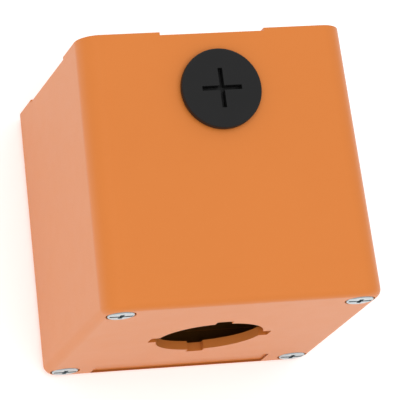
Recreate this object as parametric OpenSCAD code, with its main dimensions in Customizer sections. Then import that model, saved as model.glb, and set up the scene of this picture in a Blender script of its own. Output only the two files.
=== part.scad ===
// Empty die-cast control-station enclosure for one 30 mm pushbutton head:
// a drafted box open at the front, a tray-shaped cover held by four captive
// screws, a gasket, a threaded blanking plug in the upper conduit entry, an
// open threaded conduit entry below, and an earth terminal on the back wall.
// Millimetres. The origin is the centre of the wall-mounting plane, +Z is up,
// the cover faces -Y and the wall is on the +Y side.

/* [Box] */
// Width of the box across the front
box_w = 80; // [78:0.5:84]
// Width of the box at the mounting plane (the sides are drafted)
back_w = 76; // [75:0.5:78]
// Height of the box
box_h = 80; // [78:0.5:84]
// Overall depth from the mounting plane to the cover's face
box_d = 77.7; // [70.7:0.5:90.2]
// Radius of the four edges that run from front to back
edge_r = 6; // [5:0.5:7]
// Thickness of the back wall
back_t = 3; // [2.5:0.5:4]
// Width of the inside of the box
cav_w = 72; // [70:0.5:72]
// Height of the inside of the box
cav_h = 73; // [71:0.5:73]
// Radius of the screw pillars in the corners
pillar_r = 7.4; // [7.3:0.1:8.2]
// Depth of the cross-shaped relief that leaves four corner pads on the back
pad_h = 0.9; // [0.4:0.1:1.2]
// Width of the upright arm of the back relief
relief_w = 30; // [20:1:34]
// Height of the level arm of the back relief
relief_h = 41.4; // [30:0.2:44]

/* [Cover] */
// Depth of the tray-shaped cover
cover_d = 10; // [9:0.5:14]
// Fillet round the cover's face
front_r = 2.5; // [1:0.5:2.5]
// Thickness of the cover's plate round the button hole
plate_t = 2.5; // [2.2:0.1:2.6]
// Radius of the button hole
hole_r = 15.25; // [11.25:0.25:15.5]
// Width of the four notches in the button hole
notch_w = 4.8; // [3.2:0.1:4.8]
// Distance from the hole's axis to the bottom of a notch
notch_r = 17.6; // [16.6:0.1:18]
// Width of the shallow legend recess
legend_w = 51.4; // [40:0.2:52]
// Height of the legend recess
legend_h = 9.2; // [6:0.2:9.6]
// Depth of the legend recess
legend_t = 0.6; // [0.3:0.05:0.8]

/* [Cover screws] */
// Distance of a cover screw from the upright centre plane
screw_x = 34.1; // [33.8:0.1:34.2]
// Distance of a cover screw from the level centre plane
screw_z = 33.6; // [33.2:0.1:34]
// Radius of the counterbore for a screw head
cbore_r = 4.25; // [4.1:0.05:4.3]
// Depth of the counterbore
cbore_t = 2.9; // [2.6:0.1:3.2]
// Length of thread on the tip of a captive screw
tip_thread = 4.2; // [3:0.1:4.3]

/* [Conduit entries] */
// Distance of both entries from the mounting plane
entry_y = 17.5; // [17:0.1:24]
// Minor radius of the open 20 mm entry thread
entry_minor_r = 9.19; // [9.1:0.01:9.4]
// Bore that takes the threaded plug
entry_major_r = 10.03; // [10:0.01:10.1]
// Length of the entry thread from the outer face
entry_len = 9; // [7:0.5:10]
// Radius of the plug's head
plug_head_r = 11.4; // [11.2:0.1:12.6]
// Height of the plug's head over the box, with its seal
plug_head_t = 2.6; // [2.2:0.1:4]

/* [Wall fixing] */
// Hole to hole across the box
fix_w = 42; // [38:1:43]
// Hole to hole up the box
fix_h = 54; // [50:1:56]
// Radius of a fixing hole
fix_r = 2.65; // [2.2:0.05:2.75]

/* [Hidden] */
$fn = 96;

rim_t = 3;                       // straight zone of the cover that carries the fillet
w_rim = box_d - rim_t;           // where the draft starts
draft = atan((box_w - back_w) / 2 / w_rim);
w_seam = box_d - cover_d;        // underside of the cover
seam_gap = 0.02;                 // the cover rests on its gasket
w_body = w_seam - seam_gap;      // rim of the box
w_seat = box_d - cbore_t;        // seat of the screw heads
groove_t = 1.5;
groove_w = 1.6;
groove_x = 37.85;                // centre line of the gasket on the sides
groove_z = 38.25;                // centre line of the gasket above and below
groove_r = 5.6;                  // centre line of the gasket round a screw
ring_w0 = w_seam - 3.5;          // retainer on the waist of a captive screw
ring_t = 1.2;
travel = 4.9;                    // seven turns of a 0.7 mm thread
waist_r = 1.6;
head_r = 3.8;
head_t = 3.15;                   // the screw heads stand 0.25 proud of the cover
thread_r = 1.98;
thread_len = 4.2;
tip_w = ring_w0 - 1.2 - tip_thread;
legend_z = -37.6;                // lower edge of the legend recess
earth_x = -22;
earth_z = 0;
earth_boss_t = 5;
earth_w = back_t + earth_boss_t; // top of the earth boss
steel = [0.80, 0.82, 0.82];
orange = [0.87, 0.45, 0.18];
black = [0.10, 0.10, 0.10];

// The modules below are drawn looking at the cover: x to the right, y up,
// z from the mounting plane to the cover. place() turns that to the frame.
module place() { rotate([90, 0, 0]) children(); }

module rrect(w, h, r) {
  union() {
    square([w - 2 * r, h], center = true);
    square([w, h - 2 * r], center = true);
    for (sx = [-1, 1], sy = [-1, 1])
      translate([sx * (w / 2 - r), sy * (h / 2 - r)]) circle(r = r);
  }
}

module at_screws() {
  for (sx = [-1, 1], sy = [-1, 1]) translate([sx * screw_x, sy * screw_z]) children();
}

// outline of a corner pillar and of all that lies outside it
module corner_zone(r) {
  for (sx = [-1, 1], sy = [-1, 1]) translate([sx * screw_x, sy * screw_z]) {
    circle(r = r);
    translate([sx > 0 ? 0 : -12, sy > 0 ? -r : -12]) square([12, 12 + r]);
    translate([sx > 0 ? -r : -12, sy > 0 ? 0 : -12]) square([12 + r, 12]);
  }
}

module inside_outline() {
  difference() {
    square([cav_w, cav_h], center = true);
    corner_zone(pillar_r);
  }
}

// closed band of width bw along the gasket's centre line
module gasket_outline(bw) {
  difference() {
    square([2 * groove_x + bw, 2 * groove_z + bw], center = true);
    corner_zone(groove_r - bw / 2);
    difference() {
      square([2 * groove_x - bw, 2 * groove_z - bw], center = true);
      corner_zone(groove_r + bw / 2);
    }
  }
}

// drafted block from w0 to w1 with round front-to-back edges
module drafted_block(w0, w1) {
  t = tan(draft);
  difference() {
    rotate([90, 0, 0]) linear_extrude(height = box_h, center = true)
      polygon([[-(back_w / 2 + w0 * t), w0], [back_w / 2 + w0 * t, w0],
               [back_w / 2 + w1 * t, w1], [-(back_w / 2 + w1 * t), w1]]);
    for (sx = [-1, 1], sy = [-1, 1])
      translate([sx * back_w / 2, sy * box_h / 2, 0]) rotate([0, sx * draft, 0])
        difference() {
          translate([sx > 0 ? -edge_r : -3, sy > 0 ? -edge_r : -3, -4])
            cube([edge_r + 3, edge_r + 3, box_d + 8]);
          translate([-sx * edge_r, -sy * edge_r, -5]) cylinder(r = edge_r, h = box_d + 10);
        }
  }
}

module plate_profile(hw) {
  intersection() {
    union() {
      translate([-hw, 0]) square([2 * hw, rim_t - front_r]);
      translate([-hw + front_r, 0]) square([2 * hw - 2 * front_r, rim_t]);
      for (s = [-1, 1]) translate([s * (hw - front_r), rim_t - front_r]) circle(r = front_r);
    }
    translate([-hw, 0]) square([2 * hw, rim_t]);
  }
}

// cover's face with a round fillet all the way round
module front_plate() {
  w = box_w - 0.02;
  h = box_h - 0.02;
  r = edge_r - 0.01;
  rotate([90, 0, 0]) linear_extrude(height = h - 2 * r, center = true) plate_profile(w / 2);
  rotate([90, 0, 90]) linear_extrude(height = w - 2 * r, center = true) plate_profile(h / 2);
  for (sx = [-1, 1], sy = [-1, 1])
    translate([sx * (w / 2 - r), sy * (h / 2 - r), 0])
      rotate_extrude() intersection() {
        plate_profile(r);
        square([r, rim_t]);
      }
}

module box_body() {
  color(orange) place() difference() {
    union() {
      difference() {
        drafted_block(0, w_body);
        translate([0, 0, back_t]) linear_extrude(height = box_d) inside_outline();
      }
      // thick ring round each conduit entry
      intersection() {
        for (s = [-1, 1])
          translate([0, s * (box_h / 2 - entry_len / 2), entry_y]) rotate([90, 0, 0])
            cylinder(r = 13, h = entry_len, center = true);
        translate([-20, -box_h / 2, 0]) cube([40, box_h, 40]);
      }
      // washer seats round the wall-fixing holes
      for (sx = [-1, 1], sy = [-1, 1])
        translate([sx * fix_w / 2, sy * fix_h / 2, back_t - 0.5]) cylinder(r = 5, h = 1.5);
      // earth boss
      translate([earth_x, earth_z, back_t - 0.5]) cylinder(r = 4.6, h = earth_boss_t + 0.5);
    }
    // cross-shaped relief behind
    translate([-relief_w / 2, -box_h, -1]) cube([relief_w, 2 * box_h, pad_h + 1]);
    translate([-box_w, -relief_h / 2, -1]) cube([2 * box_w, relief_h, pad_h + 1]);
    // conduit entries
    translate([0, box_h / 2 - entry_len - 1, entry_y]) rotate([-90, 0, 0])
      cylinder(r = entry_major_r, h = entry_len + 2);
    translate([0, -box_h / 2 + entry_len + 1, entry_y]) rotate([90, 0, 0])
      cylinder(r = entry_minor_r, h = entry_len + 2);
    // wall-fixing holes
    for (sx = [-1, 1], sy = [-1, 1])
      translate([sx * fix_w / 2, sy * fix_h / 2, -1]) cylinder(r = fix_r, h = back_t + 4);
    // earth screw hole
    translate([earth_x, earth_z, back_t - 0.6]) cylinder(r = thread_r + 0.07, h = earth_boss_t + 2);
    // pillar holes: clearance for the retainer, then the thread
    at_screws() {
      translate([0, 0, ring_w0 - 1]) cylinder(r = 3.4, h = 10);
      translate([0, 0, tip_w - 1.4]) cylinder(r = thread_r + 0.07, h = 20);
    }
  }
}

module cover() {
  color(orange) place() difference() {
    union() {
      difference() {
        union() {
          drafted_block(w_seam, w_rim);
          translate([0, 0, w_rim]) front_plate();
        }
        translate([0, 0, w_seam - 1]) linear_extrude(height = cover_d - plate_t + 1) inside_outline();
      }
      // flat pad behind the button hole
      translate([0, 0, box_d - plate_t - 0.6]) difference() {
        cylinder(r = 22, h = 0.7);
        translate([0, 0, -1]) cylinder(r = 20.5, h = 3);
      }
    }
    // button hole with four notches
    translate([0, 0, box_d - plate_t - 2]) cylinder(r = hole_r, h = plate_t + 4);
    translate([0, 0, box_d - plate_t - 2]) linear_extrude(height = plate_t + 4)
      intersection() {
        union() {
          square([2 * notch_r + 2, notch_w], center = true);
          square([notch_w, 2 * notch_r + 2], center = true);
        }
        circle(r = notch_r);
      }
    // screw passages: counterbore, shank hole, retainer pocket
    at_screws() {
      translate([0, 0, w_seat]) cylinder(r = cbore_r, h = cbore_t + 1);
      translate([0, 0, w_seam - 1]) cylinder(r = 2.25, h = cover_d);
      translate([0, 0, w_seam - 1]) cylinder(r = 3.4, h = ring_w0 + ring_t + travel + 0.05 - w_seam + 1);
    }
    // gasket groove
    translate([0, 0, w_seam - 1]) linear_extrude(height = groove_t + 1) gasket_outline(groove_w);
    // legend recess
    translate([-legend_w / 2, legend_z, box_d - legend_t]) cube([legend_w, legend_h, legend_t + 1]);
  }
}

module cover_gasket() {
  color(black) place() translate([0, 0, w_body])
    linear_extrude(height = groove_t + seam_gap) gasket_outline(groove_w - 0.08);
}

// captive screw: head with a slot and a short cross arm, waist, threaded tip
module captive_screw(sx, sy) {
  color(steel) place() translate([sx * screw_x, sy * screw_z, 0]) difference() {
    union() {
      rotate_extrude() polygon([[0, tip_w], [1.3, tip_w], [thread_r - 0.05, tip_w + 0.8],
        for (i = [0 : 4]) each [[thread_r, tip_w + 0.8 + 0.7 * i], [thread_r, tip_w + 0.92 + 0.7 * i],
                                [waist_r + 0.02, tip_w + 1.1 + 0.7 * i], [waist_r + 0.02, tip_w + 1.2 + 0.7 * i]],
        [waist_r, tip_w + 4.2], [waist_r, w_seat], [head_r, w_seat],
        [head_r, w_seat + head_t - 0.45], [head_r - 0.3, w_seat + head_t - 0.05],
        [2.6, w_seat + head_t], [0, w_seat + head_t]]);
    }
    translate([-3.3, -0.6, w_seat + head_t - 1.5]) cube([6.6, 1.2, 3]);
    translate([-0.6, -2.0, w_seat + head_t - 1.7]) cube([1.2, 4.0, 3]);
    translate([-2.0, -0.6, w_seat + head_t - 1.7]) cube([4.0, 1.2, 3]);
  }
}

// nylon ring pushed on the waist: it stops the screw from falling out
module retainer(sx, sy) {
  color([0.90, 0.89, 0.84]) place() translate([sx * screw_x, sy * screw_z, ring_w0]) difference() {
    cylinder(r = 3.1, h = ring_t);
    translate([0, 0, -1]) cylinder(r = waist_r + 0.04, h = ring_t + 2);
  }
}

// blanking plug: flat head with a cross slot, hollow threaded stem
module entry_plug() {
  stem = 8;
  seal = 0.5;
  top = box_h / 2 + plug_head_t;
  color(black) translate([0, -entry_y, 0]) difference() {
    rotate_extrude() polygon([[0, box_h / 2 - 2.6], [7.6, box_h / 2 - 2.6], [7.6, box_h / 2 - stem],
      [9.3, box_h / 2 - stem], [9.75, box_h / 2 - stem + 0.5],
      for (i = [0 : 3]) each [[9.95, box_h / 2 - stem + 0.85 + 1.5 * i], [9.95, box_h / 2 - stem + 1.15 + 1.5 * i],
                              [9.2, box_h / 2 - stem + 1.65 + 1.5 * i], [9.2, box_h / 2 - stem + 1.9 + 1.5 * i]],
      [9.2, box_h / 2 + seal], [plug_head_r, box_h / 2 + seal],
      [plug_head_r, top - 0.6], [plug_head_r - 0.6, top], [0, top]]);
    translate([-5.65, -0.65, top - 2.5]) cube([11.3, 1.3, 4]);
    translate([-0.65, -5.65, top - 2.5]) cube([1.3, 11.3, 4]);
  }
}

module entry_plug_seal() {
  color([0.05, 0.05, 0.05]) translate([0, -entry_y, box_h / 2]) difference() {
    cylinder(r = 11.1, h = 0.5);
    translate([0, 0, -1]) cylinder(r = 10.0, h = 3);
  }
}

module earth_wire_clamp() {
  color(steel) place() translate([earth_x, earth_z, earth_w]) difference() {
    translate([-4.5, -4.5, 0]) cube([9, 9, 2.6]);
    translate([-5, -3.7, 1]) cube([10, 7.4, 3]);
    translate([0, 0, -1]) cylinder(r = 2.2, h = 4);
  }
}

module earth_spring_washer() {
  color(steel) place() translate([earth_x, earth_z, earth_w + 1]) difference() {
    cylinder(r = 3.4, h = 0.9);
    translate([0, 0, -1]) cylinder(r = 2.1, h = 3);
    rotate([0, 0, 35]) translate([1, -0.25, -1]) cube([4, 0.5, 3]);
  }
}

module earth_screw() {
  w0 = earth_w + 1.9;
  tip = back_t + 0.2;
  color(steel) place() translate([earth_x, earth_z, 0]) difference() {
    rotate_extrude() polygon([[0, tip], [1.4, tip], [thread_r - 0.05, tip + 0.6],
      for (i = [0 : 7]) each [[thread_r, tip + 0.7 + 0.7 * i], [thread_r, tip + 0.85 + 0.7 * i],
                              [1.62, tip + 1.08 + 0.7 * i], [1.62, tip + 1.2 + 0.7 * i]],
      [1.62, w0], [3.4, w0], [3.4, w0 + 2.0], [3.0, w0 + 2.5], [0, w0 + 2.5]]);
    translate([-5, -0.5, w0 + 1.3]) cube([10, 1.0, 3]);
    translate([-0.5, -1.9, w0 + 1.1]) cube([1.0, 3.8, 3]);
  }
}

box_body();
cover();
cover_gasket();
captive_screw(-1, 1);  // cover_screw_upper_left
captive_screw(1, 1);  // cover_screw_upper_right
captive_screw(-1, -1);  // cover_screw_lower_left
captive_screw(1, -1);  // cover_screw_lower_right
retainer(-1, 1);  // screw_retainer_upper_left
retainer(1, 1);  // screw_retainer_upper_right
retainer(-1, -1);  // screw_retainer_lower_left
retainer(1, -1);  // screw_retainer_lower_right
entry_plug();
entry_plug_seal();
earth_screw();
earth_spring_washer();
earth_wire_clamp();
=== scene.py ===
# One-button die-cast control-station enclosure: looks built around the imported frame.
import bpy
import bmesh
import math
from mathutils import Vector, Matrix


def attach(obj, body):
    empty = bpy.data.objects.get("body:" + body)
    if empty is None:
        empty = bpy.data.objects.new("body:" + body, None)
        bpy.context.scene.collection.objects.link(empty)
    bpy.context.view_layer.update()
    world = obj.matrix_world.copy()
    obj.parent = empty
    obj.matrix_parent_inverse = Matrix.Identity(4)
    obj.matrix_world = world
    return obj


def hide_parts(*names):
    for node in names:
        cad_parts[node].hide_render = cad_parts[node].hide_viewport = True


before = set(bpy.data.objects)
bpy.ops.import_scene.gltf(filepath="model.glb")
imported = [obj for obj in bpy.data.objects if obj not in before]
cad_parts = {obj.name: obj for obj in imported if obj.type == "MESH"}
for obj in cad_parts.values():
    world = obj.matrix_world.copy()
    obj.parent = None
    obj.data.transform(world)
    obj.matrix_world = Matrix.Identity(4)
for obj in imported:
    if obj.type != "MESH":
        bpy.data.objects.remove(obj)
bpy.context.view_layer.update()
MM = 0.001
TAU = 2 * math.pi
scene = bpy.context.scene
coll = scene.collection

# ----------------------------------------------------------------- camera
# Position and axes of the reference view, in millimetres in the row frame.
CAM_F = 3909.5
CAM_C = Vector((-309.41, -302.817, 1029.144)) * MM
CAM_R = Matrix(((0.9579760, -0.1254371, 0.2579680),
                (-0.0548760, -0.9628501, -0.2644019),
                (0.2815503, 0.2391345, -0.9292707)))
cam_data = bpy.data.cameras.new("camera")
cam_data.sensor_fit = "HORIZONTAL"
cam_data.sensor_width = 36.0
cam_data.lens = CAM_F / 400.0 * 36.0
cam_data.clip_start = 0.05
cam_data.clip_end = 20.0
cam = bpy.data.objects.new("camera", cam_data)
coll.objects.link(cam)
right, down, fwd = (Vector(r) for r in CAM_R)
rot = Matrix((right, -down, -fwd)).transposed().to_4x4()
cam.matrix_world = Matrix.Translation(CAM_C) @ rot
scene.camera = cam

# ----------------------------------------------------------------- sizes (mm)
# Looking at the cover: u right, v up, w from the mounting plane to the cover.
BOX_W, BACK_W, BOX_H, BOX_D = 80.0, 76.0, 80.0, 77.7
EDGE_R, BACK_T = 6.0, 3.0
CAV_W, CAV_H, PILLAR_R = 72.0, 73.0, 7.4
RELIEF_W, RELIEF_H, PAD_H = 30.0, 41.4, 0.9
COVER_D, FRONT_R, PLATE_T, RIM_T = 10.0, 2.5, 2.5, 3.0
HOLE_R, NOTCH_W, NOTCH_R = 15.25, 4.8, 17.6
LEG_W, LEG_H, LEG_T, LEG_Z = 51.4, 9.2, 0.6, -37.6
SCREW_X, SCREW_Z, CBORE_R, CBORE_T = 34.1, 33.6, 4.25, 2.9
HEAD_R, HEAD_T = 3.8, 3.15
ENTRY_Y, ENTRY_LEN = 17.5, 9.0
PLUG_R, PLUG_T = 11.4, 2.6
FIX_W, FIX_H, FIX_R = 42.0, 54.0, 2.65
W_RIM = BOX_D - RIM_T
W_SEAM = BOX_D - COVER_D
W_BODY = W_SEAM - 0.005                   # the cover rests on its gasket
W_SEAT = BOX_D - CBORE_T
RING_W = W_SEAM - 3.5
TIP_W = RING_W - 1.2 - 4.2
EARTH_X, EARTH_Z = -22.0, 0.0
EARTH_W = BACK_T + 5.0
SLOPE = (BOX_W - BACK_W) / 2 / W_RIM
GX, GZ, GR, GW = 37.85, 38.25, 5.6, 1.6


def P(u, v, w):
    return Vector((u * MM, -w * MM, v * MM))


# ----------------------------------------------------------------- mesh tools
def new_object(name, bm, fix=True):
    if fix:
        bmesh.ops.recalc_face_normals(bm, faces=bm.faces)
    me = bpy.data.meshes.new(name)
    bm.to_mesh(me)
    bm.free()
    ob = bpy.data.objects.new(name, me)
    coll.objects.link(ob)
    return ob


def loft(name, rings, cap=True):
    """rings: lists of points (Vectors in metres), the same count in each."""
    bm = bmesh.new()
    vs = [[bm.verts.new(p) for p in r] for r in rings]
    n = len(rings[0])
    for a, b in zip(vs, vs[1:]):
        for i in range(n):
            j = (i + 1) % n
            bm.faces.new((a[i], a[j], b[j], b[i]))
    if cap:
        bm.faces.new(list(reversed(vs[0])))
        bm.faces.new(vs[-1])
    return new_object(name, bm)


def outline_rr(hw, hh, r, seg=18):
    """Rounded rectangle, counter-clockwise, half sizes hw and hh."""
    pts = []
    for cx, cy, a0 in ((hw - r, hh - r, 0), (-hw + r, hh - r, 90), (-hw + r, -hh + r, 180), (hw - r, -hh + r, 270)):
        for k in range(seg + 1):
            a = math.radians(a0 + 90 * k / seg)
            pts.append((cx + r * math.cos(a), cy + r * math.sin(a)))
    return pts


def outline_pillars(hw, hh, r, seg=20):
    """Rectangle whose corners are cut back round the cover screws."""
    pts = []
    for sx, sy in ((1, 1), (-1, 1), (-1, -1), (1, -1)):
        q = [(hw, SCREW_Z - r)]
        for k in range(seg + 1):
            a = math.radians(270 - 90 * k / seg)
            q.append((SCREW_X + r * math.cos(a), SCREW_Z + r * math.sin(a)))
        q.append((SCREW_X - r, hh))
        q = [(sx * x, sy * y) for x, y in q]
        if sx * sy < 0:
            q.reverse()
        pts += q
    return pts


def prism(name, pts, w0, w1):
    return loft(name, [[P(x, y, w) for x, y in pts] for w in (w0, w1)])


def revolve(name, prof, n, place, thread=None, closed=False):
    """Turns prof, a list of (r, z) or (r, z, 1) in mm, about the z axis. A third value marks a point on a helical thread:
    thread = (minor radius, crest radius, pitch, z low, z high, run-out)."""
    bm = bmesh.new()
    rings = []
    for p in prof:
        r, z = p[0], p[1]
        if r <= 1e-9 and not closed:
            rings.append([bm.verts.new(place(0, 0, z))])
            continue
        ring = []
        for i in range(n):
            a = TAU * i / n
            rr = r
            if len(p) > 2:
                lo, hi, pitch, z0, z1, run = thread
                t = (z / pitch - i / n) % 1.0
                tri = 1 - abs(2 * t - 1)
                tri = min(1.0, max(0.0, (tri - 0.10) / 0.72))
                env = min(1.0, max(0.0, (z - z0) / run), max(0.0, (z1 - z) / run))
                rr = lo + (hi - lo) * tri * env
            ring.append(bm.verts.new(place(rr * math.cos(a), rr * math.sin(a), z)))
        rings.append(ring)
    pairs = list(zip(rings, rings[1:])) + ([(rings[-1], rings[0])] if closed else [])
    for a, b in pairs:
        if len(a) == 1 and len(b) == 1:
            continue
        for i in range(n):
            j = (i + 1) % n
            if len(a) == 1:
                bm.faces.new((a[0], b[j], b[i]))
            elif len(b) == 1:
                bm.faces.new((a[i], a[j], b[0]))
            else:
                bm.faces.new((a[i], a[j], b[j], b[i]))
    return new_object(name, bm)


def thread_points(z0, z1, step):
    k = max(2, int(round((z1 - z0) / step)))
    return [(1.0, z0 + (z1 - z0) * i / k, 1) for i in range(k + 1)]


def arc(cx, cz, r, a0, a1, k):
    return [(cx + r * math.cos(math.radians(a0 + (a1 - a0) * i / k)),
             cz + r * math.sin(math.radians(a0 + (a1 - a0) * i / k))) for i in range(k + 1)]


def front_at(u0, v0):
    """place() for a part turned about an axis that points out of the cover."""
    return lambda x, y, z: P(u0 + x, v0 + y, z)


def upright_at(x0, y0):
    """place() for a part turned about an upright axis; z is the height."""
    return lambda x, y, z: Vector(((x0 + x) * MM, (y0 + y) * MM, z * MM))


def boxm(name, u0, u1, v0, v1, w0, w1):
    return prism(name, [(u0, v0), (u1, v0), (u1, v1), (u0, v1)], w0, w1)


def cut(ob, tools, op="DIFFERENCE"):
    """Booleans one after another, applied; the tools are removed."""
    for t in tools:
        m = ob.modifiers.new("b", "BOOLEAN")
        m.operation = op
        m.object = t
        m.solver = SOLVER
        if SOLVER == "EXACT":
            m.use_hole_tolerant = False
        apply_all(ob)
        bpy.data.objects.remove(t)
    return ob


def apply_all(ob):
    dg = bpy.context.evaluated_depsgraph_get()
    dg.update()
    me = bpy.data.meshes.new_from_object(ob.evaluated_get(dg), preserve_all_data_layers=True, depsgraph=dg)
    ob.modifiers.clear()
    old = ob.data
    ob.data = me
    me.name = ob.name
    bpy.data.meshes.remove(old)


def tidy(ob, angle=0.3):
    """Welds and removes the coplanar edges that the booleans leave."""
    bm = bmesh.new()
    bm.from_mesh(ob.data)
    bmesh.ops.remove_doubles(bm, verts=bm.verts, dist=2e-6)
    bmesh.ops.dissolve_limit(bm, angle_limit=math.radians(angle), use_dissolve_boundaries=False,
                             verts=bm.verts, edges=bm.edges, delimit=set())
    bmesh.ops.recalc_face_normals(bm, faces=bm.faces)
    bm.to_mesh(ob.data)
    bm.free()


def outside_by(u, v, w):
    """Distance in mm from the drafted outer outline at depth w, negative inside it."""
    qx, qy = abs(u) - (BACK_W / 2 + w * SLOPE - EDGE_R), abs(v) - (BOX_H / 2 - EDGE_R)
    return math.hypot(max(qx, 0), max(qy, 0)) + min(max(qx, qy), 0) - EDGE_R


def at_parting(co):
    """Is this vertex on the outer edge of the parting plane between box and cover?"""
    u, v, w = co.x / MM, co.z / MM, -co.y / MM
    return W_BODY - 0.03 < w < W_SEAM + 0.03 and outside_by(u, v, w) > -0.3


def soften(ob, width, segments=2, angle=32, keep=None):
    """Small cast or moulded radius on every sharp edge but those that keep() holds sharp."""
    bm = bmesh.new()
    bm.from_mesh(ob.data)
    lay = bm.edges.layers.float.get("bevel_weight_edge") or bm.edges.layers.float.new("bevel_weight_edge")
    for e in bm.edges:
        sharp = len(e.link_faces) == 2 and e.calc_face_angle(0.0) > math.radians(angle)
        if sharp and keep is not None and all(keep(v.co) for v in e.verts):
            sharp = False
        e[lay] = 1.0 if sharp else 0.0
    bm.to_mesh(ob.data)
    bm.free()
    b = ob.modifiers.new("bevel", "BEVEL")
    b.width = width * MM
    b.segments = segments
    b.limit_method = "WEIGHT"
    b.use_clamp_overlap = True
    b.miter_outer = "MITER_ARC"
    b.harden_normals = False
    apply_all(ob)


def finish_normals(ob, angle=40, weighted=True):
    me = ob.data
    for p in me.polygons:
        p.use_smooth = True
    me.set_sharp_from_angle(angle=math.radians(angle))
    if weighted:
        m = ob.modifiers.new("wn", "WEIGHTED_NORMAL")
        m.keep_sharp = True
        m.weight = 80
        apply_all(ob)


SOLVER = "EXACT"
SEGS = 96


# ----------------------------------------------------------------- box body
def drafted_ring(w, inset=0.0, seg=18):
    hw = BACK_W / 2 + w * SLOPE - inset
    return [P(x, y, w) for x, y in outline_rr(hw, BOX_H / 2 - inset, EDGE_R - inset, seg)]


def make_body():
    rings = []
    for k in range(4):                       # small radius at the mounting plane
        a = math.radians(90 * k / 3)
        rings.append(drafted_ring(0.3 * (1 - math.sin(a)), 0.3 * (1 - math.cos(a))))
    rings.reverse()
    rings = rings[::-1] if rings[0][0].y < rings[-1][0].y else rings
    rings += [drafted_ring(w) for w in (W_BODY * 0.33, W_BODY * 0.66)]
    rings.append(drafted_ring(W_BODY))
    ob = loft("box_body_shell", rings)
    cut(ob, [prism("t", outline_pillars(CAV_W / 2, CAV_H / 2, PILLAR_R), BACK_T, BOX_D)])
    adds = []
    for s in (-1, 1):                        # thick ring round each conduit entry
        z1 = BOX_H / 2 - ENTRY_LEN
        prof = [(0, s * (z1 + 6)), (13, s * (z1 + 6)), (13, s * (z1 + 0.8))] + \
               [(12.2 + 0.8 * math.cos(math.radians(a)), s * (z1 + 0.8 - 0.8 * math.sin(math.radians(a)))) for a in (22.5, 45, 67.5, 90)] + [(0, s * z1)]
        adds.append(revolve("t", prof, SEGS, upright_at(0, -ENTRY_Y)))
    for sx in (-1, 1):
        for sy in (-1, 1):
            adds.append(revolve("t", [(0, BACK_T - 1), (5, BACK_T - 1), (5, BACK_T + 0.8), (4.8, BACK_T + 1), (0, BACK_T + 1)], 64,
                                front_at(sx * FIX_W / 2, sy * FIX_H / 2)))
    adds.append(revolve("t", [(0, BACK_T - 1), (5.0, BACK_T - 1), (4.6, BACK_T + 0.6), (4.6, EARTH_W - 0.3), (4.3, EARTH_W), (0, EARTH_W)], 64,
                        front_at(EARTH_X, EARTH_Z)))
    cut(ob, adds, "UNION")
    cuts = [boxm("t", -RELIEF_W / 2, RELIEF_W / 2, -60, 60, -2, PAD_H),
            boxm("t", -60, 60, -RELIEF_H / 2, RELIEF_H / 2, -2, PAD_H)]
    # conduit entries with their threads
    z0, z1 = BOX_H / 2 - ENTRY_LEN, BOX_H / 2
    for s in (1, -1):
        lo, hi = (9.19, 10.03) if s > 0 else (9.19, 10.0)
        a, b = (z0, z1) if s > 0 else (-z1, -z0)
        prof = [(0, a - 1.2), (hi + 1.4, a - 1.2), (hi + 0.2, a)] + \
               [(1.0, a + 0.4 + (b - a - 0.8) * i / 46, 1) for i in range(47)] + \
               [(hi + 0.2, b), (hi + 1.4, b + 1.2), (0, b + 1.2)]
        cuts.append(revolve("t", prof, 144, upright_at(0, -ENTRY_Y), (lo, hi, 1.5, a + 0.2, b - 0.2, 0.5)))
    for sx in (-1, 1):
        for sy in (-1, 1):
            cuts.append(revolve("t", [(0, -1), (FIX_R + 1.25, -1), (FIX_R, 0.25), (FIX_R, BACK_T + 0.75), (FIX_R + 1.25, BACK_T + 2), (0, BACK_T + 2)], 64, front_at(sx * FIX_W / 2, sy * FIX_H / 2)))
            # pillar: clearance for the retainer, then the tapped hole
            prof = [(0, TIP_W - 1.4), (1.66, TIP_W - 0.6)] + [(1.0, TIP_W - 0.5 + 0.1 * i, 1) for i in range(int((RING_W - 1 - TIP_W + 0.5) / 0.1))] + \
                   [(2.05, RING_W - 1.35), (3.4, RING_W - 1.0), (3.4, W_BODY - 0.25), (4.65, W_BODY + 1), (0, W_BODY + 1)]
            cuts.append(revolve("t", prof, 60, front_at(sx * SCREW_X, sy * SCREW_Z), (1.68, 2.05, 0.7, TIP_W - 0.5, RING_W - 1.4, 0.3)))
    prof = [(0, BACK_T - 0.4), (1.66, BACK_T)] + [(1.0, BACK_T + 0.1 + 0.1 * i, 1) for i in range(44)] + \
           [(2.05, EARTH_W - 0.3), (3.35, EARTH_W + 1), (0, EARTH_W + 1)]
    cuts.append(revolve("t", prof, 60, front_at(EARTH_X, EARTH_Z), (1.68, 2.05, 0.7, BACK_T + 0.1, EARTH_W - 0.5, 0.3)))
    cut(ob, cuts)
    return ob


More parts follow.
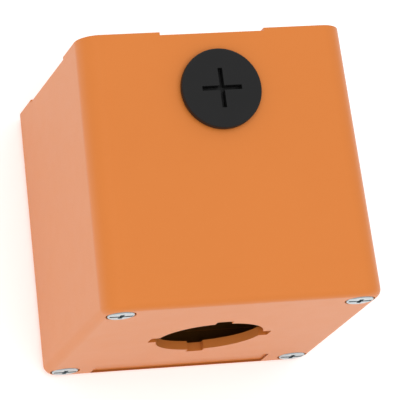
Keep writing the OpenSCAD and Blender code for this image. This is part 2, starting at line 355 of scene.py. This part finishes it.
def make_cover():
    rings = [drafted_ring(W_SEAM), drafted_ring(W_RIM)]
    for k in range(11):                      # fillet round the face
        a = math.radians(90 * k / 10)
        o = FRONT_R * (1 - math.cos(a))
        rings.append([P(x, y, BOX_D - FRONT_R + FRONT_R * math.sin(a)) for x, y in outline_rr(BOX_W / 2 - 0.01 - o, BOX_H / 2 - 0.01 - o, EDGE_R - 0.01 - o, 18)])
    ob = loft("cover_shell", rings)
    cut(ob, [prism("t", outline_pillars(CAV_W / 2, CAV_H / 2, PILLAR_R), W_SEAM - 2, BOX_D - PLATE_T)])
    ring = revolve("t", [(20.5, BOX_D - 2.2), (20.5, BOX_D - 3.0), (20.6, BOX_D - 3.1), (21.9, BOX_D - 3.1), (22, BOX_D - 3.0), (22, BOX_D - 2.2)], SEGS, front_at(0, 0), closed=True)
    cut(ob, [ring], "UNION")
    cuts = []
    # button hole with four notches
    pts = []
    half = math.asin(NOTCH_W / 2 / HOLE_R)
    nh = math.asin(NOTCH_W / 2 / NOTCH_R)
    for q in range(4):
        c = q * math.pi / 2
        for k in range(7):
            a = c - nh + 2 * nh * k / 6
            pts.append((NOTCH_R * math.cos(a), NOTCH_R * math.sin(a)))
        for k in range(25):
            a = c + half + (math.pi / 2 - 2 * half) * k / 24
            pts.append((HOLE_R * math.cos(a), HOLE_R * math.sin(a)))
    cuts.append(prism("t", pts, BOX_D - PLATE_T - 2, BOX_D + 1))
    for sx in (-1, 1):
        for sy in (-1, 1):
            pocket = RING_W + 1.2 + 4.9 + 0.05
            cuts.append(revolve("t", [(0, W_SEAM - 1), (4.6, W_SEAM - 1), (3.4, W_SEAM + 0.2), (3.4, pocket), (2.25, pocket), (2.25, W_SEAT), (CBORE_R - 0.15, W_SEAT),
                                      (CBORE_R, W_SEAT + 0.15), (CBORE_R, BOX_D + 1), (0, BOX_D + 1)], SEGS, front_at(sx * SCREW_X, sy * SCREW_Z)))
    # gasket groove
    groove = loft("t", [[P(x, y, w) for x, y in outline_pillars(GX + GW / 2, GZ + GW / 2, GR - GW / 2)] for w in (W_SEAM - 1, W_SEAM + 1.5)])
    core = loft("t2", [[P(x, y, w) for x, y in outline_pillars(GX - GW / 2, GZ - GW / 2, GR + GW / 2)] for w in (W_SEAM - 2, W_SEAM + 2.5)])
    cut(groove, [core])
    cuts.append(groove)
    # legend recess
    cuts.append(prism("t", [(x, y + LEG_Z + LEG_H / 2) for x, y in outline_rr(LEG_W / 2, LEG_H / 2, 0.5, 5)], BOX_D - LEG_T, BOX_D + 1))
    cut(ob, cuts)
    return ob



# ----------------------------------------------------------------- hardware
def make_screw(sx, sy):
    """Captive cover screw: cheese head with a slot and a short cross, waist, threaded tip."""
    top = W_SEAT + HEAD_T
    prof = [(0, TIP_W), (1.15, TIP_W), (1.3, TIP_W + 0.05), (1.6, TIP_W + 0.35)]
    prof += [(1.0, TIP_W + 0.45 + 0.0875 * i, 1) for i in range(43)]
    prof += [(1.6, TIP_W + 4.25), (1.6, W_SEAT - 0.15), (1.7, W_SEAT), (HEAD_R - 0.15, W_SEAT), (HEAD_R, W_SEAT + 0.15)]
    prof += [(HEAD_R, top - 0.45)] + arc(HEAD_R - 0.4, top - 0.45, 0.4, 0, 75, 6)[1:] + [(2.6, top - 0.01), (0, top)]
    ob = revolve("cover_screw_shape", prof, 72, front_at(sx * SCREW_X, sy * SCREW_Z), (1.6, 1.98, 0.7, TIP_W + 0.4, TIP_W + 4.2, 0.35))
    u, v = sx * SCREW_X, sy * SCREW_Z
    h, L = 0.6, 2.0
    slot = boxm("t", u - 3.3, u + 3.3, v - h, v + h, top - 1.5, top + 1)
    cross = loft("t", [[P(u + x, v + y, w) for x, y in
                        ((h, h), (h, L), (-h, L), (-h, h), (-L, h), (-L, -h), (-h, -h), (-h, -L), (h, -L), (h, -h), (L, -h), (L, h))]
                       for w in (top - 1.7, top + 1)])
    cut(ob, [slot, cross])
    return ob


def make_plug():
    """Moulded M20 blanking plug: flat head, cross slot, hollow threaded stem."""
    top = BOX_H / 2 + PLUG_T
    z0 = BOX_H / 2 - 8.0
    prof = [(0, BOX_H / 2 - 2.6)] + [(7.6 - 0.6 + 0.6 * math.sin(math.radians(a)), BOX_H / 2 - 2.6 - 0.6 + 0.6 * math.cos(math.radians(a))) for a in (0, 30, 60, 90)]
    prof += [(7.6, z0 + 0.2), (7.8, z0), (9.0, z0), (9.15, z0 + 0.15)]
    prof += [(1.0, z0 + 0.35 + 0.125 * i, 1) for i in range(53)]
    prof += [(9.15, BOX_H / 2 + 0.35), (9.3, BOX_H / 2 + 0.5), (PLUG_R - 0.2, BOX_H / 2 + 0.5), (PLUG_R, BOX_H / 2 + 0.7), (PLUG_R, top - 0.6)]
    prof += arc(PLUG_R - 0.6, top - 0.6, 0.6, 0, 90, 8)[1:] + [(8.0, top), (0, top)]
    ob = revolve("entry_plug_shape", prof, 144, upright_at(0, -ENTRY_Y), (9.1, 9.93, 1.5, z0 + 0.3, BOX_H / 2 - 0.9, 0.5))
    L, h = 5.65, 0.65
    pts = [(h, h), (h, L), (-h, L), (-h, h), (-L, h), (-L, -h), (-h, -h), (-h, -L), (h, -L), (h, -h), (L, -h), (L, h)]
    t = loft("t", [[Vector((x * MM, (y - ENTRY_Y) * MM, z * MM)) for x, y in pts] for z in (top - 2.5, top + 1)])
    cut(ob, [t])
    return ob


def make_seal():
    z = BOX_H / 2
    prof = [(10.0, z + 0.12), (10.12, z), (10.98, z), (11.1, z + 0.12), (11.1, z + 0.38), (10.98, z + 0.5), (10.12, z + 0.5), (10.0, z + 0.38)]
    return revolve("entry_plug_seal_shape", prof, 144, upright_at(0, -ENTRY_Y), closed=True)


def make_retainer(sx, sy):
    r0, r1, a, b = 1.64, 3.1, RING_W, RING_W + 1.2
    prof = [(r0, a + 0.2), (r0 + 0.2, a)] + [(r1 - 0.2, a), (r1 - 0.06, a + 0.06), (r1, a + 0.2), (r1, b - 0.2), (r1 - 0.06, b - 0.06), (r1 - 0.2, b), (r0 + 0.2, b), (r0, b - 0.2)]
    return revolve("retainer_shape", prof, 64, front_at(sx * SCREW_X, sy * SCREW_Z), closed=True)


def make_gasket():
    bw = GW - 0.08
    w0, w1 = W_BODY, W_SEAM + 1.5
    rings_out = []
    for o, w in ((0.22, w0), (0.07, w0 + 0.07), (0.0, w0 + 0.22), (0.0, w1 - 0.1), (0.1, w1)):
        rings_out.append([P(x, y, w) for x, y in outline_pillars(GX + bw / 2 - o, GZ + bw / 2 - o, GR - bw / 2 + o)])
    rings_in = []
    for o, w in ((0.1, w1), (0.0, w1 - 0.1), (0.0, w0 + 0.22), (0.07, w0 + 0.07), (0.22, w0)):
        rings_in.append([P(x, y, w) for x, y in outline_pillars(GX - bw / 2 + o, GZ - bw / 2 + o, GR + bw / 2 - o)])
    rings = rings_out + rings_in
    bm = bmesh.new()
    vs = [[bm.verts.new(p) for p in r] for r in rings]
    n = len(vs[0])
    for k in range(len(vs)):
        a, b = vs[k], vs[(k + 1) % len(vs)]
        for i in range(n):
            j = (i + 1) % n
            bm.faces.new((a[i], a[j], b[j], b[i]))
    return new_object("cover_gasket_shape", bm)


def make_earth_screw():
    w0, tip = EARTH_W + 1.9, BACK_T + 0.2
    prof = [(0, tip), (1.2, tip), (1.5, tip + 0.3)]
    prof += [(1.0, tip + 0.4 + 0.0875 * i, 1) for i in range(62)]
    prof += [(1.62, w0 - 0.2), (1.75, w0), (3.25, w0), (3.4, w0 + 0.15), (3.4, w0 + 1.9)] + arc(2.8, w0 + 1.9, 0.6, 0, 90, 6)[1:] + [(0, w0 + 2.5)]
    ob = revolve("earth_screw_shape", prof, 72, front_at(EARTH_X, EARTH_Z), (1.62, 1.98, 0.7, tip + 0.35, w0 - 0.9, 0.35))
    u, v, top = EARTH_X, EARTH_Z, w0 + 2.5
    slot = boxm("t", u - 5, u + 5, v - 0.5, v + 0.5, top - 1.2, top + 1)
    cross = loft("t", [[P(u + x * k, v + y * k, w) for x, y in
                        ((0.5, 0.5), (0.5, 1.9), (-0.5, 1.9), (-0.5, 0.5), (-1.9, 0.5), (-1.9, -0.5), (-0.5, -0.5), (-0.5, -1.9), (0.5, -1.9), (0.5, -0.5), (1.9, -0.5), (1.9, 0.5))]
                       for k, w in ((0.8, top - 1.4), (1.0, top + 1))])
    cut(ob, [slot, cross])
    return ob


def make_spring_washer():
    """Split ring with a flat section."""
    bm = bmesh.new()
    n, r0, r1, t, lift = 60, 2.1, 3.4, 0.9, 0.0
    gap = 0.075
    loops = []
    for i in range(n + 1):
        a = math.radians(35) + gap + (TAU - 2 * gap) * i / n
        w = EARTH_W + 1.0
        q = []
        for r, z in ((r0 + 0.12, 0), (r1 - 0.12, 0), (r1, 0.12), (r1, t - 0.12), (r1 - 0.12, t), (r0 + 0.12, t), (r0, t - 0.12), (r0, 0.12)):
            q.append(bm.verts.new(P(EARTH_X + r * math.cos(a), EARTH_Z + r * math.sin(a), w + z)))
        loops.append(q)
    for a, b in zip(loops, loops[1:]):
        for i in range(8):
            j = (i + 1) % 8
            bm.faces.new((a[i], a[j], b[j], b[i]))
    bm.faces.new(loops[0])
    bm.faces.new(list(reversed(loops[-1])))
    return new_object("spring_washer_shape", bm)


def make_clamp():
    """Square wire clamp with two upturned edges."""
    prof = [(-4.5, 0.35), (-4.15, 0.0), (4.15, 0.0), (4.5, 0.35), (4.5, 2.5), (4.4, 2.6), (3.8, 2.6), (3.7, 2.5), (3.7, 1.15), (3.55, 1.0),
            (-3.55, 1.0), (-3.7, 1.15), (-3.7, 2.5), (-3.8, 2.6), (-4.4, 2.6), (-4.5, 2.5)]
    ob = loft("earth_clamp_shape", [[P(EARTH_X + x, EARTH_Z + y, EARTH_W + z) for y, z in prof] for x in (-4.5, 4.5)])
    cut(ob, [revolve("t", [(0, EARTH_W - 1), (3.3, EARTH_W - 1), (2.2, EARTH_W + 0.1), (2.2, EARTH_W + 0.9), (3.4, EARTH_W + 2.1), (0, EARTH_W + 2.1)], 48, front_at(EARTH_X, EARTH_Z))])
    return ob


# ----------------------------------------------------------------- materials
class Mat:
    """Small helper: a Principled material with object coordinates and noise layers."""

    def __init__(self, name, **sockets):
        self.mat = bpy.data.materials.new(name)
        self.mat.use_nodes = True
        self.nt = self.mat.node_tree
        self.bsdf = self.nt.nodes["Principled BSDF"]
        for k, v in sockets.items():
            self.bsdf.inputs[k.replace("_", " ")].default_value = v
        self.coord = self.node("ShaderNodeTexCoord").outputs["Object"]

    def node(self, kind, **props):
        n = self.nt.nodes.new(kind)
        for k, v in props.items():
            setattr(n, k, v)
        return n

    def link(self, a, b):
        self.nt.links.new(a, b)

    def noise(self, scale, detail=2.0, rough=0.5, coord=None, distortion=0.0):
        n = self.node("ShaderNodeTexNoise")
        n.inputs["Scale"].default_value = scale
        n.inputs["Detail"].default_value = detail
        n.inputs["Roughness"].default_value = rough
        n.inputs["Distortion"].default_value = distortion
        self.link(coord or self.coord, n.inputs["Vector"])
        return n.outputs["Fac"]

    def ramp(self, fac, stops):
        r = self.node("ShaderNodeValToRGB")
        e = r.color_ramp.elements
        while len(e) < len(stops):
            e.new(0.5)
        for el, (pos, col) in zip(e, stops):
            el.position = pos
            el.color = col if len(col) == 4 else (*col, 1.0)
        self.link(fac, r.inputs["Fac"])
        return r.outputs["Color"]

    def span(self, fac, lo, hi, f0=0.3, f1=0.7):
        m = self.node("ShaderNodeMapRange")
        m.inputs["From Min"].default_value = f0
        m.inputs["From Max"].default_value = f1
        m.inputs["To Min"].default_value = lo
        m.inputs["To Max"].default_value = hi
        self.link(fac, m.inputs["Value"])
        return m.outputs["Result"]

    def mix(self, fac, a, b, mode="MIX"):
        m = self.node("ShaderNodeMix", data_type="RGBA", blend_type=mode)
        if isinstance(fac, float):
            m.inputs[0].default_value = fac
        else:
            self.link(fac, m.inputs[0])
        for sock, val in ((m.inputs[6], a), (m.inputs[7], b)):
            if isinstance(val, tuple):
                sock.default_value = (*val, 1.0) if len(val) == 3 else val
            else:
                self.link(val, sock)
        return m.outputs[2]

    def math(self, op, a, b=0.0, clamp=False):
        m = self.node("ShaderNodeMath", operation=op, use_clamp=clamp)
        for sock, val in ((m.inputs[0], a), (m.inputs[1], b)):
            if isinstance(val, (int, float)):
                sock.default_value = val
            else:
                self.link(val, sock)
        return m.outputs[0]

    def bump(self, layers):
        """layers: (height socket, strength, distance in metres)."""
        prev = None
        for h, s, d in layers:
            b = self.node("ShaderNodeBump")
            b.inputs["Strength"].default_value = s
            b.inputs["Distance"].default_value = d
            self.link(h, b.inputs["Height"])
            if prev is not None:
                self.link(prev, b.inputs["Normal"])
            prev = b.outputs["Normal"]
        self.link(prev, self.bsdf.inputs["Normal"])

    def color(self, c):
        self.link(c, self.bsdf.inputs["Base Color"])

    def rough(self, r):
        self.link(r, self.bsdf.inputs["Roughness"])


ORANGE = (0.700, 0.210, 0.0400)


def mul(c, k):
    return tuple(min(1.0, x * k) for x in c)


def orange_paint(name="orange_paint", k=1.0):
    base = mul(ORANGE, k)
    m = Mat(name, IOR=1.5)
    big = m.noise(18.0, 3.0, 0.5)
    mid = m.noise(160.0, 3.0, 0.55)
    speck = m.noise(2600.0, 1.0, 0.5)
    c = m.mix(m.span(big, 0.0, 1.0), mul(base, 0.985), mul(base, 1.015))
    c = m.mix(m.span(mid, 0.0, 0.35), c, (base[0] * 1.01, base[1] * 1.04, base[2] * 1.10))
    c = m.mix(m.span(speck, 0.0, 0.22, 0.62, 0.78), c, mul(base, 0.80))
    m.color(c)
    m.rough(m.math("ADD", m.span(mid, 0.345, 0.375), m.span(speck, 0.0, 0.03)))
    m.bsdf.inputs["Specular IOR Level"].default_value = 0.33
    peel = m.noise(900.0, 2.0, 0.45)
    m.bump([(peel, 0.08, 0.00006), (speck, 0.05, 0.00002)])
    return m.mat


# Inside walls of box and cover: orange darkened to a dark brown, painted shade for the unlit hollow.
def painted_cavity_shade():
    m = Mat("cavity_painted_shade", IOR=1.45)
    a = m.noise(90.0, 4.0, 0.6)
    g = m.noise(3000.0, 2.0, 0.6)
    c = m.mix(m.span(a, 0.0, 1.0), (0.200, 0.084, 0.0150), (0.255, 0.108, 0.0200))
    m.color(c)
    m.rough(m.span(a, 0.55, 0.75))
    m.bsdf.inputs["Specular IOR Level"].default_value = 0.25
    m.bump([(g, 0.35, 0.00008)])
    return m.mat


def plug_plastic():
    m = Mat("black_polyamide", IOR=1.5)
    a = m.noise(120.0, 3.0, 0.6)
    g = m.noise(5200.0, 2.0, 0.6)
    c = m.mix(m.span(a, 0.0, 1.0), (0.0105, 0.0105, 0.0107), (0.0130, 0.0130, 0.0133))
    m.color(c)
    m.bsdf.inputs["Specular IOR Level"].default_value = 0.33
    m.rough(m.span(a, 0.50, 0.60))
    m.bump([(g, 0.30, 0.00006)])
    return m.mat


def rubber(name, base):
    m = Mat(name, IOR=1.5)
    a = m.noise(220.0, 3.0, 0.6)
    g = m.noise(4200.0, 2.0, 0.6)
    m.color(m.mix(m.span(a, 0.0, 1.0), mul(base, 0.8), mul(base, 1.25)))
    m.rough(m.span(a, 0.62, 0.78))
    m.bump([(g, 0.35, 0.00008)])
    return m.mat


def nylon():
    m = Mat("natural_nylon", IOR=1.53)
    a = m.noise(400.0, 3.0, 0.6)
    m.color(m.mix(m.span(a, 0.0, 1.0), (0.66, 0.62, 0.50), (0.74, 0.71, 0.60)))
    m.rough(m.span(a, 0.35, 0.5))
    m.bsdf.inputs["Subsurface Weight"].default_value = 0.2
    m.bsdf.inputs["Subsurface Radius"].default_value = (0.001, 0.001, 0.0008)
    m.bump([(m.noise(3000.0), 0.2, 0.00006)])
    return m.mat


def zinc(name, base, tint):
    """Bright zinc plate on turned steel: fine rings round the part's own axis and a faint mottled passivation."""
    m = Mat(name, Metallic=1.0)
    loc = m.node("ShaderNodeAttribute", attribute_name="part_axis").outputs["Vector"]
    sep = m.node("ShaderNodeSeparateXYZ")
    m.link(loc, sep.inputs[0])
    r2 = m.math("ADD", m.math("MULTIPLY", sep.outputs[0], sep.outputs[0]), m.math("MULTIPLY", sep.outputs[1], sep.outputs[1]))
    r = m.math("SQRT", r2)
    comb = m.node("ShaderNodeCombineXYZ")
    m.link(m.math("MULTIPLY", r, 1.0), comb.inputs[0])
    m.link(m.math("MULTIPLY", sep.outputs[2], 0.15), comb.inputs[1])
    rings = m.noise(14.0, 2.0, 0.6, comb.outputs[0])
    mott = m.noise(1.1, 4.0, 0.6, loc)
    fine = m.noise(9.0, 3.0, 0.6, loc)
    c = m.mix(m.span(mott, 0.0, 1.0), base, tint)
    c = m.mix(m.span(fine, 0.0, 0.25), c, mul(base, 0.82))
    m.color(c)
    m.rough(m.math("ADD", m.span(mott, 0.24, 0.36), m.span(fine, 0.0, 0.06)))
    m.bump([(rings, 0.25, 0.00004), (fine, 0.10, 0.00003)])
    return m.mat


def give_axis(ob, place_origin, kind):
    """Stores each vertex's place about the part's own axis, in millimetres, for the turning marks."""
    at = ob.data.attributes.new("part_axis", "FLOAT_VECTOR", "POINT")
    for i, v in enumerate(ob.data.vertices):
        d = (v.co - place_origin) / MM
        at.data[i].vector = (d.x, d.z, -d.y) if kind == "front" else (d.x, d.y, d.z)


MATS = {
    "orange": orange_paint(),
    # Button-hole walls: the orange paint at 0.94 brightness, painted shade.
    "bore": orange_paint("orange_bore_painted_shade", 0.94),
    "shade": orange_paint("orange_edge_shade", 0.55),
    "inside": painted_cavity_shade(),
    "plug": plug_plastic(),
    "seal": rubber("seal_rubber", (0.010, 0.010, 0.011)),
    "gasket": rubber("gasket_rubber", (0.014, 0.014, 0.015)),
    "nylon": nylon(),
    "zinc": zinc("bright_zinc", (0.52, 0.58, 0.60), (0.43, 0.50, 0.53)),
    "earth": zinc("yellow_zinc", (0.78, 0.70, 0.48), (0.70, 0.66, 0.52)),
}


def in_cavity(u, v, tol=0.06):
    """Is this point inside or on the wall of the hollow, seen from the front?"""
    if abs(u) > CAV_W / 2 + tol or abs(v) > CAV_H / 2 + tol:
        return False
    x, y = abs(u) - SCREW_X, abs(v) - SCREW_Z
    if x > 0 and y > -PILLAR_R + tol or y > 0 and x > -PILLAR_R + tol:
        return False
    return math.hypot(x, y) > PILLAR_R - tol or (x < -PILLAR_R or y < -PILLAR_R)


def paint(ob, mats, pick=None):
    ob.data.materials.clear()
    for k in mats:
        ob.data.materials.append(MATS[k])
    for p in ob.data.polygons:
        p.material_index = 0
        if pick is not None:
            c = p.center / MM
            p.material_index = pick(c.x, c.z, -c.y, p.normal)


# Cavity walls take slot 1, the painted shade of the hollow.
def body_pick(u, v, w, n):
    if BACK_T - 0.02 < w < W_BODY - 0.4 and in_cavity(u, v, 0.25):
        return 1
    return 0


def cover_pick(u, v, w, n):
    if w > BOX_D - LEG_T - 0.02 and abs(u) < LEG_W / 2 + 0.1 and LEG_Z - 0.1 < v < LEG_Z + LEG_H + 0.1 and abs(n.y) < 0.5:
        return 3
    # Button-hole walls take slot 2, the darker orange of painted shade.
    if w > BOX_D - PLATE_T - 0.1 and math.hypot(u, v) < NOTCH_R + 0.3 and abs(n.y) < 0.3:
        return 2
    # Cavity walls of the cover take slot 1, the painted shade of the hollow.
    if w < BOX_D - PLATE_T + 0.02 and w > W_SEAM + 0.3 and in_cavity(u, v, 0.25):
        return 1
    return 0


def add_piece(ob, node, body, mats, width=0.0, segs=2, pick=None, angle=32, normals=40, keep=None):
    tidy(ob)
    if width:
        soften(ob, width, segs, angle, keep)
    paint(ob, mats, pick)
    finish_normals(ob, normals)
    ob.name = node + "_detail"
    ob.data.name = ob.name
    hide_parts(node)
    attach(ob, body)
    return ob


CORNERS = (("upper_left", -1, 1), ("upper_right", 1, 1), ("lower_left", -1, -1), ("lower_right", 1, -1))

body = add_piece(make_body(), "box_body", "box", ("orange", "inside"), 0.22, 2, body_pick, keep=at_parting)
cover = add_piece(make_cover(), "cover", "cover", ("orange", "inside", "bore", "shade"), 0.2, 2, cover_pick, keep=at_parting)
add_piece(make_gasket(), "cover_gasket", "cover", ("gasket",))
for cname, sx, sy in CORNERS:
    s = make_screw(sx, sy)
    tidy(s)
    give_axis(s, P(sx * SCREW_X, sy * SCREW_Z, W_SEAT), "front")
    add_piece(s, "cover_screw_" + cname, "cover_screw_" + cname, ("zinc",), 0.06, 2)
    add_piece(make_retainer(sx, sy), "screw_retainer_" + cname, "screw_retainer_" + cname, ("nylon",))
add_piece(make_plug(), "entry_plug", "entry_plug", ("plug",), 0.09, 2)
add_piece(make_seal(), "entry_plug_seal", "entry_plug_seal", ("seal",))
e = make_earth_screw()
tidy(e)
give_axis(e, P(EARTH_X, EARTH_Z, EARTH_W), "front")
add_piece(e, "earth_screw", "earth_screw", ("earth",), 0.06, 2)
for maker, node in ((make_spring_washer, "earth_spring_washer"), (make_clamp, "earth_wire_clamp")):
    e = maker()
    give_axis(e, P(EARTH_X, EARTH_Z, EARTH_W), "front")
    add_piece(e, node, "earth_clamp", ("earth",), 0.05 if node == "earth_wire_clamp" else 0.0)

# ----------------------------------------------------------------- stage and light
bm = bmesh.new()
for x, y in ((-6, -6), (6, -6), (6, 6), (-6, 6)):
    bm.verts.new((x, y, -0.04))
bm.faces.new(bm.verts)
floor = new_object("floor", bm, False)
fm = Mat("floor_paper", Roughness=0.9)
fa = fm.noise(30.0, 3.0)
fm.color(fm.mix(fm.span(fa, 0.0, 1.0), (0.93, 0.93, 0.93), (0.95, 0.95, 0.95)))
fm.bsdf.inputs["Specular IOR Level"].default_value = 0.2
fm.bsdf.inputs["Emission Color"].default_value = (1.0, 1.0, 1.0, 1.0)
fm.bsdf.inputs["Emission Strength"].default_value = 0.30
floor.data.materials.append(fm.mat)

world = bpy.data.worlds.new("studio")
scene.world = world
world.use_nodes = True
bg = world.node_tree.nodes["Background"]
bg.inputs["Color"].default_value = (1.0, 1.0, 1.0, 1.0)
bg.inputs["Strength"].default_value = 0.60


def area(name, loc, target, size, power, color=(1, 1, 1), glossy=True):
    d = bpy.data.lights.new(name, "AREA")
    d.shape = "SQUARE"
    d.size = size
    d.energy = power
    d.color = color
    o = bpy.data.objects.new(name, d)
    coll.objects.link(o)
    o.location = loc
    o.rotation_euler = (Vector(target) - Vector(loc)).to_track_quat("-Z", "Y").to_euler()
    o.visible_glossy = glossy
    return o


area("overhead", (-0.15, -0.20, 1.7), (0, -0.04, 0), 2.0, 20.0, glossy=False)

scene.view_settings.view_transform = "Standard"
scene.view_settings.look = "None"
scene.view_settings.exposure = 0.0
scene.view_settings.gamma = 1.0
